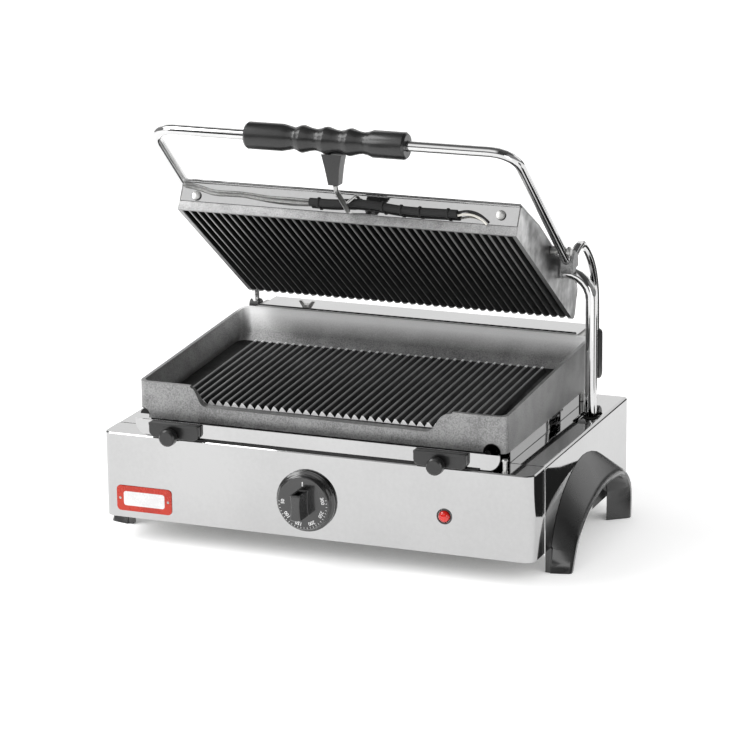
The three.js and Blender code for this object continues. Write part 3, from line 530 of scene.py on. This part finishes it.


# The lower ribs' front ends are scraped bare, and so are the last points of their crests. Both
# are painted white, which also paints the highlight that they catch.
def lower_casting():
    material, tree, shader, colour = grained_finish(
        "lower_casting", grey(0.03), grey(0.12), 0.0014, 0.02, 0.5, (0.4, 0.55), (0.0003, 0.3),
        metallic=0.4, specular_ior_level=0.2)
    slope = widest_normal("lower_plate")
    crest = level_of("lower_plate", slope)
    skin = season(tree, colour, shader, slope, crest, -1.0, Vector((0, -1, 0)), 0.24)
    ends = add_group(tree, "facing", {"Direction": (0, -1, 0), "From": 0.3, "To": 0.45})
    ribs = add_group(tree, "along", {
        "Direction": slope, "From": crest - rib_height - 0.6 * MM, "To": crest - rib_height})
    bare_lit_ends = add_maths(tree, "MULTIPLY", ends["Mask"], ribs["Mask"])
    rear_border, last_points = 12.4 * MM, 4 * MM
    last_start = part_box("lower_plate")[1].y - rear_border - last_points
    last = add_group(tree, "along", {
        "Direction": (0, 1, 0), "From": last_start, "To": last_start + 0.4 * MM})
    tops = add_group(tree, "along", {
        "Direction": slope, "From": crest - 1 * MM, "To": crest - 0.6 * MM})
    skin = colour_blend(tree, last["Mask"], skin, grey(0.004))
    bare_lit_dots = add_maths(tree, "MULTIPLY", last["Mask"], tops["Mask"])
    # Bare metal and painted highlight: the scraped ends and the crest dots turn white and matt.
    bare_and_highlight = add_maths(tree, "MAXIMUM", bare_lit_ends, bare_lit_dots)
    tree.links.new(colour_blend(tree, bare_and_highlight, skin, grey(1)), shader.inputs["Base Color"])
    tree.links.new(spread(tree, bare_and_highlight, 0, 1, 0.4, 0), shader.inputs["Metallic"])
    return material


# %% [markdown]
# ## Dress the solids
# A solid keeps its shape and only gets a finish. Most take the finish of their slot in the
# record. A few are finer than their slot, such as the glossy dial, and are named one by one.

# %% Hang a finish on every solid
finish_of_slot = {
    "mirror_steel": polished_sheet(),
    "chrome": chromed_bar(),
    "zinc_steel": zinc_plate(),
    "cast_grey": sand_casting(),
    "cast_black": lower_casting(),
    "black_plastic": grained_moulding(),
    "cable_black": black_sleeve(),
    "lens_red": lamp_glass(),
    "ceramic_white": glazed_ceramic(),
}
satin, glossy = satin_moulding(), glossy_dial()
finish_of_node = {
    "upper_plate": upper_casting(),
    "bridge_foot_left": satin,
    "bridge_foot_right": satin,
    "thermostat_knob": glossy,
    "stay_rod": finish_of_slot["zinc_steel"],
    "stay_hook": finish_of_slot["zinc_steel"],
    "pilot_lamp_body": glossy,
}


def slot_of(solid):
    """The record's slot is the name of the solid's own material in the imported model."""
    return solid.data.materials[0].name.split(".")[0]


print("slots", sorted({slot_of(solid) for solid in solids.values()}))
for name, solid in solids.items():
    finish = finish_of_node.get(name) or finish_of_slot[slot_of(solid)]
    solid.data.materials.clear()
    solid.data.materials.append(finish)

# %% [markdown]
# Real edges are never knife-sharp: they catch a thin line of light. A bevel modifier rounds the
# sharp edges of each solid by a fraction of a millimetre, after a weld has merged its loose
# triangles and a flat decimation has cleaned its flat faces. Thin wire keeps its own shape.

# %% Soften the edges
def soften(solid, edge):
    shading = solid.data.attributes.get("custom_normal")
    if shading:
        solid.data.attributes.remove(shading)
    solid.data.shade_smooth()
    solid.modifiers.new("merged", "WELD").merge_threshold = 0.001 * MM
    flat = solid.modifiers.new("clean_faces", "DECIMATE")
    flat.decimate_type = "DISSOLVE"
    flat.angle_limit = math.radians(0.5)
    rounding = solid.modifiers.new("soft_edges", "BEVEL")
    rounding.width = edge
    rounding.segments = 2
    rounding.limit_method = "ANGLE"
    rounding.angle_limit = math.radians(35)
    rounding.harden_normals = True


wires = ("balance_spring", "left_lead_upper", "left_lead_lower", "right_lead_upper",
         "right_lead_lower")
edge_of_node = {"bridge_foot_left": 0.8 * MM, "bridge_foot_right": 0.8 * MM,
                "splash_guard": 0.9 * MM, "thermostat_knob": 0.5 * MM}
for name, solid in solids.items():
    soften(solid, 0.05 * MM if name in wires else edge_of_node.get(name, 0.35 * MM))

# %% [markdown]
# ## Small parts
# The solids lack the small parts that a shop would fit last: print, ties, screws, rings. Each is
# drawn in mesh code at its place, so that its object stays at the origin and a pattern keeps
# still. A turned part is a profile of radius and height that is spun round the Z axis.

# %% Helpers for small parts
def at(x, y, z):
    return Vector((x, y, z)) * MM


def add_piece(name, mesh, finish, body, place=Matrix()):
    mesh.transform(place)
    mesh.materials.clear()
    mesh.materials.append(finish)
    mesh.shade_smooth()
    mesh.set_sharp_from_angle(angle=math.radians(35))
    piece = bpy.data.objects.new(name, mesh)
    bpy.context.scene.collection.objects.link(piece)
    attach(piece, body)
    return piece


def mesh_of(name, shape):
    """Turns a bmesh into a mesh with its faces looking outwards."""
    bmesh.ops.recalc_face_normals(shape, faces=shape.faces)
    mesh = bpy.data.meshes.new(name)
    shape.to_mesh(mesh)
    shape.free()
    return mesh


def turned(name, profile, steps=40):
    """Spins pairs of radius and height, in millimetres, round Z. The profile closes on itself."""
    shape = bmesh.new()
    turns = [2 * math.pi * step / steps for step in range(steps)]
    rows = [[shape.verts.new(at(radius * math.cos(turn), radius * math.sin(turn), height))
             for turn in turns] for radius, height in profile]
    for low, high in zip(rows, rows[1:] + rows[:1]):
        for step in range(steps):
            after = (step + 1) % steps
            shape.faces.new((low[step], low[after], high[after], high[step]))
    bmesh.ops.remove_doubles(shape, verts=shape.verts, dist=0.001 * MM)
    return mesh_of(name, shape)


def slab(name, outline, thickness, edge=0.15):
    """Lifts a flat outline of x, y pairs, in millimetres, along Z, and rounds its upper rim."""
    shape = bmesh.new()
    face = shape.faces.new([shape.verts.new(at(x, y, 0)) for x, y in outline])
    lifted = bmesh.ops.extrude_face_region(shape, geom=[face])["geom"]
    top = [item for item in lifted if isinstance(item, bmesh.types.BMVert)]
    bmesh.ops.translate(shape, verts=top, vec=at(0, 0, thickness))
    rim = [side for side in shape.edges if all(vertex in top for vertex in side.verts)]
    bmesh.ops.bevel(shape, geom=rim, offset=edge * MM, segments=2, affect="EDGES")
    return mesh_of(name, shape)


def rounded_outline(x0, x1, y0, y1, corner, steps=6):
    centres = ((x1 - corner, y1 - corner), (x0 + corner, y1 - corner),
               (x0 + corner, y0 + corner), (x1 - corner, y0 + corner))
    return [(x + corner * math.cos(turn), y + corner * math.sin(turn))
            for quarter, (x, y) in enumerate(centres)
            for turn in [math.pi / 2 * (quarter + step / steps) for step in range(steps + 1)]]


def facing(x, y, z, normal):
    """Puts Z of a part along a normal, at a place in millimetres."""
    turn = Vector(normal).to_track_quat("Z", "Y").to_matrix().to_4x4()
    return Matrix.Translation(at(x, y, z)) @ turn


front = (0, -1, 0)
front_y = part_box("front_cover")[0].y / MM
dial_joint = Vector(joints["dial_turn"]["pos_m"]) / MM
print("front panel at", round(front_y, 2), "dial axis at", [round(v, 2) for v in dial_joint])

# %% [markdown]
# ## Things that repeat
# Screws, rivets and ties are many copies of one part. A Geometry Nodes tree puts the part on a
# cloud of points, turned by an attribute of each point. The tree ends in real geometry with its
# finish set, and the result is kept as a plain mesh.

# %% The tree that places copies
def build_copies_tree():
    tree = bpy.data.node_groups.new("copies_on_points", "GeometryNodeTree")
    kinds = {"Points": "Geometry", "Copied part": "Object", "Size": "Float", "Finish": "Material"}
    for label, kind in kinds.items():
        tree.interface.new_socket(label, in_out="INPUT", socket_type="NodeSocket" + kind)
    tree.interface.new_socket("Copies", in_out="OUTPUT", socket_type="NodeSocketGeometry")
    source = add_node(tree, "NodeGroupInput").outputs
    part = add_node(tree, "GeometryNodeObjectInfo", {"Object": source["Copied part"]})
    turn = add_node(tree, "GeometryNodeInputNamedAttribute", {"Name": "turn"},
                    data_type="FLOAT_VECTOR")
    rotation = add_node(tree, "FunctionNodeEulerToRotation", {"Euler": turn.outputs[0]})
    copies = add_node(tree, "GeometryNodeInstanceOnPoints", {
        "Points": source["Points"], "Instance": part.outputs["Geometry"],
        "Rotation": rotation.outputs[0], "Scale": source["Size"]})
    real = add_node(tree, "GeometryNodeRealizeInstances", {"Geometry": copies.outputs[0]})
    painted = add_node(tree, "GeometryNodeSetMaterial", {
        "Geometry": real.outputs[0], "Material": source["Finish"]})
    add_node(tree, "NodeGroupOutput", {"Copies": painted.outputs[0]})
    return tree


copies_tree = build_copies_tree()


def place_copies(name, part_mesh, places, finish, body, size=1.0):
    """Places are pairs of a point in millimetres and the normal that the part's Z follows."""
    points = bpy.data.meshes.new(name + "_points")
    points.from_pydata([at(*point) for point, _ in places], [], [])
    turns = points.attributes.new("turn", "FLOAT_VECTOR", "POINT")
    for turn, (_, normal) in zip(turns.data, places):
        turn.vector = Vector(normal).to_track_quat("Z", "Y").to_euler()
    part = bpy.data.objects.new(name + "_part", part_mesh)
    maker = bpy.data.objects.new(name + "_maker", points)
    for thing in (part, maker):
        bpy.context.scene.collection.objects.link(thing)
    modifier = maker.modifiers.new("copies", "NODES")
    modifier.node_group = copies_tree
    values = {"Copied part": part, "Size": size, "Finish": finish}
    for item in copies_tree.interface.items_tree:
        if item.name in values:
            modifier[item.identifier] = values[item.name]
    bpy.context.view_layer.update()
    shown = maker.evaluated_get(bpy.context.evaluated_depsgraph_get())
    mesh = bpy.data.meshes.new_from_object(shown)
    for thing in (maker, part):
        bpy.data.objects.remove(thing)
    print(name, len(places), "copies", len(mesh.polygons), "faces")
    return add_piece(name, mesh, finish, body)


# %% [markdown]
# A cross-head screw is a turned dome with a cross cut into it. The cross is a boolean, applied
# before the copies are made, so each screw costs only a few hundred faces.

# %% One cross-head screw
def cut_from(mesh, cutters):
    """Takes cutter meshes away from a mesh with boolean modifiers."""
    blank = bpy.data.objects.new("blank", mesh)
    bpy.context.scene.collection.objects.link(blank)
    tools = []
    for cutter in cutters:
        tool = bpy.data.objects.new("tool", cutter)
        bpy.context.scene.collection.objects.link(tool)
        tools.append(tool)
        taken = blank.modifiers.new("cut", "BOOLEAN")
        taken.operation = "DIFFERENCE"
        taken.object = tool
    bpy.context.view_layer.update()
    shown = blank.evaluated_get(bpy.context.evaluated_depsgraph_get())
    result = bpy.data.meshes.new_from_object(shown)
    for thing in [blank] + tools:
        bpy.data.objects.remove(thing)
    return result


def cross_screw(radius, height):
    """A domed head with its underside at Z = 0."""
    dome = turned("screw_dome", [
        (0, -0.4), (radius * 0.98, -0.4), (radius, 0.1), (radius * 0.93, height * 0.55),
        (radius * 0.6, height * 0.93), (0, height)], 28)
    arm, half = radius * 0.62, radius * 0.12
    bar = [(-arm, -half), (arm, -half), (arm, half), (-arm, half)]
    tools = [slab("cross_arm", bar, height * 2, 0.01), slab("cross_arm", [
        (y, -x) for x, y in bar], height * 2, 0.01)]
    for tool in tools:
        tool.transform(Matrix.Translation(at(0, 0, height * 0.25)))
    return cut_from(dome, tools)


# %% [markdown]
# The base is screwed together from behind and below: six screws hold the rear panel and eight
# the bottom plate. Two wider ones hold the upper grill's front panel, over its plain heads.

# %% Fit the screws
rear_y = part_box("rear_panel")[1].y / MM
rear_places = [((x, rear_y, z), (0, 1, 0)) for x in (-214, 0, 214) for z in (38, 100)]
steel_screw = finish_of_slot["zinc_steel"]
place_copies("rear_screws", cross_screw(3.2, 1.5), rear_places, steel_screw, "base",
             0.98)
floor_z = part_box("bottom_plate")[0].z / MM
bottom_places = [((x, y, floor_z), (0, 0, -1)) for x in (-200, -70, 70, 200) for y in (-128, 132)]
place_copies("bottom_screws", cross_screw(3.0, 1.4), bottom_places, steel_screw, "base")


def centre_of(node):
    low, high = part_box(node)
    return (low + high) / 2


panel_places = []
for node in ("panel_screw_left", "panel_screw_right"):
    middle = centre_of(node) + grill_front * 1.2 * MM
    panel_places.append((tuple(middle / MM), tuple(grill_front)))
place_copies("panel_screws", cross_screw(4.9, 2.2), panel_places, steel_screw, "upper_grill")

# %% [markdown]
# ## The dial's print
# The dial carries temperatures round its lower half, a fine scale at its rim and a mark at the
# top. The numbers are text turned into a mesh, each turned so that it stands upright when its
# turn of the dial brings it under the mark. The scale is one tick, copied round the axis.

# %% Print the dial
dial_thickness = 11.05
dial_face = front_y - dial_thickness
number_radius, scale_radius, mark_radius = 21.2, 25.2, 19.8
first_turn, turn_step = math.radians(180), math.radians(38.5)
print_finish = white_print()


def on_dial(turn, radius):
    return (dial_joint.x + radius * math.cos(turn), dial_face,
            dial_joint.z + radius * math.sin(turn))


def printed_number(text, turn):
    curve = bpy.data.curves.new("number_" + text, "FONT")
    curve.body = text
    curve.size = 5.0 * MM
    curve.align_x, curve.align_y = "CENTER", "CENTER"
    curve.extrude = 0.03 * MM
    curve.offset = 0.1 * MM
    words = bpy.data.objects.new("number", curve)
    bpy.context.scene.collection.objects.link(words)
    bpy.context.view_layer.update()
    shown = words.evaluated_get(bpy.context.evaluated_depsgraph_get())
    mesh = bpy.data.meshes.new_from_object(shown)
    bpy.data.objects.remove(words)
    upright = Matrix.Rotation(math.pi / 2, 4, "X") @ Matrix.Rotation(turn - math.pi / 2, 4, "Z")
    mesh.transform(Matrix.Translation(at(*on_dial(turn, number_radius))) @ upright)
    return mesh


def joined(name, meshes):
    shape = bmesh.new()
    for mesh in meshes:
        shape.from_mesh(mesh)
    result = bpy.data.meshes.new(name)
    shape.to_mesh(result)
    shape.free()
    return result


numbers = [printed_number(str(50 * (step + 1)), first_turn + step * turn_step)
           for step in range(6)]
add_piece("dial_numbers", joined("dial_numbers", numbers), print_finish, "dial")

# %% The scale and the mark
half_long, half_wide = 0.8, 0.22
tick = slab("tick", [(-half_long, -half_wide), (half_long, -half_wide),
                     (half_long, half_wide), (-half_long, half_wide)], 0.06, 0.01)


def place_ticks(name, turns, radius, size):
    """Ticks lie on the dial's face with their length along the radius."""
    meshes = []
    for turn in turns:
        lying = Matrix.Rotation(math.pi / 2, 4, "X") @ Matrix.Rotation(turn, 4, "Z")
        copy = tick.copy()
        copy.transform(Matrix.Scale(size, 4))
        copy.transform(Matrix.Translation(at(*on_dial(turn, radius))) @ lying)
        meshes.append(copy)
    return add_piece(name, joined(name, meshes), print_finish, "dial")


place_ticks("dial_scale", [first_turn + turn_step * step / 5 for step in range(26)],
            scale_radius, 1.0)
place_ticks("dial_mark", [math.pi / 2], mark_radius, 2.8)

# %% [markdown]
# ## The bare plate
# Such presses carry a small enamelled plate at the left of the front. This one is left bare: a
# red rounded frame round an empty white field, with a rivet at each end.

# %% Make the bare plate
plate_x, plate_z = -183.7, 45.8
frame_half_x, frame_half_z, frame_thickness = 30.3, 13.2, 0.9
field_half_x, field_half_z = 22.5, 7.4
rivet_reach = 26.4
red_frame = slab("plate_frame", rounded_outline(
    -frame_half_x, frame_half_x, -frame_half_z, frame_half_z, 4.5), frame_thickness, 0.3)
white_field = slab("plate_field", rounded_outline(
    -field_half_x, field_half_x, -field_half_z, field_half_z, 2.6), frame_thickness + 0.15, 0.12)
plate_place = facing(plate_x, front_y, plate_z, front)
add_piece("plate_frame", red_frame, enamel("red_enamel", (0.42, 0.014, 0.002, 1),
                                           (0.54, 0.026, 0.004, 1)), "base",
          plate_place)
add_piece("plate_field", white_field, enamel("white_enamel", grey(0.7), grey(0.82)), "base",
          plate_place)
rivet = turned("rivet", [(0, -0.3), (1.3, -0.3), (1.3, 0.15), (1.0, 0.5), (0.5, 0.68),
                         (0, 0.7)], 20)
rivet_places = [((plate_x + side * rivet_reach, front_y - frame_thickness, plate_z), front)
                for side in (-1, 1)]
place_copies("plate_rivets", rivet, rivet_places, steel_screw, "base")

# %% [markdown]
# ## Ties on the cable sleeve
# Black ties hold the leads inside the sleeve. Each ring is centred on the sleeve by the mean of
# the sleeve's own points beside it.

# %% Tie the sleeve
def sleeve_middle(x):
    """The middle of the sleeve's outline at x, between its two nearest rings of points."""
    rings = {}
    for vertex in solids["cable_sleeve"].data.vertices:
        rings.setdefault(round(vertex.co.x / MM / 4), []).append(vertex.co)
    near = min(rings, key=lambda key: abs(
        sum(point.x for point in rings[key]) / len(rings[key]) / MM - x))
    points = rings[near]
    low = Vector([min(point[i] for point in points) for i in range(3)])
    high = Vector([max(point[i] for point in points) for i in range(3)])
    return tuple((low + high) / 2 / MM)


tie = turned("tie", [(3.6, -1.1), (4.9, -1.1), (5.2, -0.8), (5.2, 0.8), (4.9, 1.1),
                     (3.6, 1.1)], 24)
tie_places = [(sleeve_middle(x), (1, 0, 0)) for x in (-33, 36, 59, 82, 113)]
place_copies("sleeve_ties", tie, tie_places, finish_of_slot["cable_black"], "upper_grill")

# %% [markdown]
# ## The strut's shutter
# The balance strut leans as the lid closes, so the deck has a slot for it. A curved steel
# shutter turns with the guide rod just under the deck and keeps crumbs out. It is a part of a
# cylinder round the strut's lower pivot, and a rubber collar seals it to the tube.

# %% Make the shutter and its collar
pivot = Vector(joints["strut_foot"]["pos_m"]) / MM
deck_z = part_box("body_shell")[1].z / MM
shutter_radius = deck_z - pivot.z - 2.6
half_width, half_sweep, thickness = 10.2, 27.5, 0.8


def shutter_mesh():
    shape = bmesh.new()
    rows = []
    for step in range(41):
        turn = math.radians(half_sweep * (step / 20 - 1))
        rows.append([shape.verts.new(at(
            pivot.x + side * half_width, pivot.y + radius * math.sin(turn),
            pivot.z + radius * math.cos(turn)))
            for side, radius in ((-1, shutter_radius - thickness),
                                 (1, shutter_radius - thickness),
                                 (1, shutter_radius), (-1, shutter_radius))])
    for near, far in zip(rows, rows[1:]):
        for corner in range(4):
            after = (corner + 1) % 4
            shape.faces.new((near[corner], near[after], far[after], far[corner]))
    shape.faces.new(rows[0])
    shape.faces.new(rows[-1])
    return mesh_of("slot_shutter", shape)


on_shutter = facing(pivot.x, pivot.y, pivot.z + shutter_radius, (0, 0, 1))
well = turned("shutter_hole", [(0, -5), (7.3, -5), (7.3, 5), (0, 5)], 32)
well.transform(on_shutter)
add_piece("slot_shutter", cut_from(shutter_mesh(), [well]), finish_of_slot["mirror_steel"],
          "strut_guide")
collar = turned("strut_collar", [(6.9, -0.6), (7.7, -0.6), (8.0, 0), (7.8, 1.0), (7.4, 1.4),
                                 (7.1, 1.5), (6.9, 1.3)], 36)
add_piece("strut_collar", collar, finish_of_slot["cable_black"], "strut_guide",
          on_shutter)

# %% [markdown]
# ## Rims and a shade strip
# The last parts are small: a rim round the pilot lamp, a rolled bead along the rear shelf and a
# black strip under the drip tray's front lip, which paints the shade in the gap there. The rim and
# the bead are separate strips on a real grill too.

# %% Fit the rims and the shade strip
lamp_middle = centre_of("pilot_lamp_lens") / MM
lamp_rim = turned("lamp_rim", [(6.5, 0), (8.0, 0), (8.0, 0.5), (7.5, 0.9), (6.9, 0.9), (6.5, 0.6)])
add_piece("lamp_rim", lamp_rim, glossy, "base",
          facing(lamp_middle.x, front_y, lamp_middle.z, front))
tray_low, tray_high = [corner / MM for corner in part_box("drip_tray")]
shelf_low, shelf_high = [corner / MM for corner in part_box("rear_shelf")]
bead = slab("shelf_bead", rounded_outline(shelf_low.x, shelf_high.x, -2.2, 3.0, 1.0), 0.8, 0.3)
add_piece("shelf_bead", bead, finish_of_slot["mirror_steel"], "base",
          facing(0, shelf_low.y - 0.02, shelf_high.z, front))
# Painted shade: a thin black strip under the tray's lip draws the shadow of the gap beneath it.
shade_reach = tray_high.x - 21
gap_shade_strip = slab("tray_seal", [(-shade_reach, 0), (shade_reach, 0), (shade_reach, 1.2),
                              (-shade_reach, 1.2)], 3.3, 0.2)
add_piece("tray_seal", gap_shade_strip, finish_of_slot["cable_black"], "tray",
          facing(0, tray_low.y, tray_low.z - 0.2, front))

# %% [markdown]
# The front cover wraps round the box's corners and ends in a rolled hem, a thin bright line on
# each side. A zinc-plated pin at the right end of the tray's mouth keeps the tray square. The
# casting's left drain notch is closed by a black sheet, set back in the wall, that paints the shade
# inside the notch.

# %% Fit the hems, the pin and the drain's shade sheet
hem = turned("hem", [(0, 0), (1.0, 0), (1.0, 89.0), (0.8, 89.3), (0, 89.3)], 20)
hem_foot = 22.6
cover_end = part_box("front_cover")[1] / MM
print("cover wings end at", round(cover_end.y, 1), "and", round(cover_end.x, 1))
hem_places = [((side * (cover_end.x - 0.55), cover_end.y - 1.2, hem_foot), (0, 0, 1))
              for side in (-1, 1)]
place_copies("cover_hems", hem, hem_places, finish_of_slot["chrome"], "base")
pin = turned("tray_pin", [(0, -0.3), (2.9, -0.3), (2.9, 0.8), (2.3, 1.2), (2.3, 10.6), (3.1, 10.9),
                          (3.1, 12.2), (2.6, 12.9), (0, 13.0)], 28)
add_piece("tray_pin", pin, steel_screw, "base",
          Matrix.Translation(at(tray_high.x + 4.4, front_y + 6.2, deck_z)))

# Painted shade: a black sheet set in the left drain notch stands for the shade inside it.
drain_x, drain_z, drain_radius = drains[0]
half_turns = [math.radians(4 + 172 * step / 16) for step in range(17)]
notch_dark_sheet = slab("drain_lining", [((drain_radius - 1.7) * math.cos(turn),
                                (drain_radius - 1.2) * math.sin(turn)) for turn in half_turns], 0.8)
add_piece("drain_lining", notch_dark_sheet, finish_of_slot["cable_black"], "base",
          facing(drain_x + 1.2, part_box("splash_guard")[0].y / MM + 3.5, drain_z + 0.1, front))
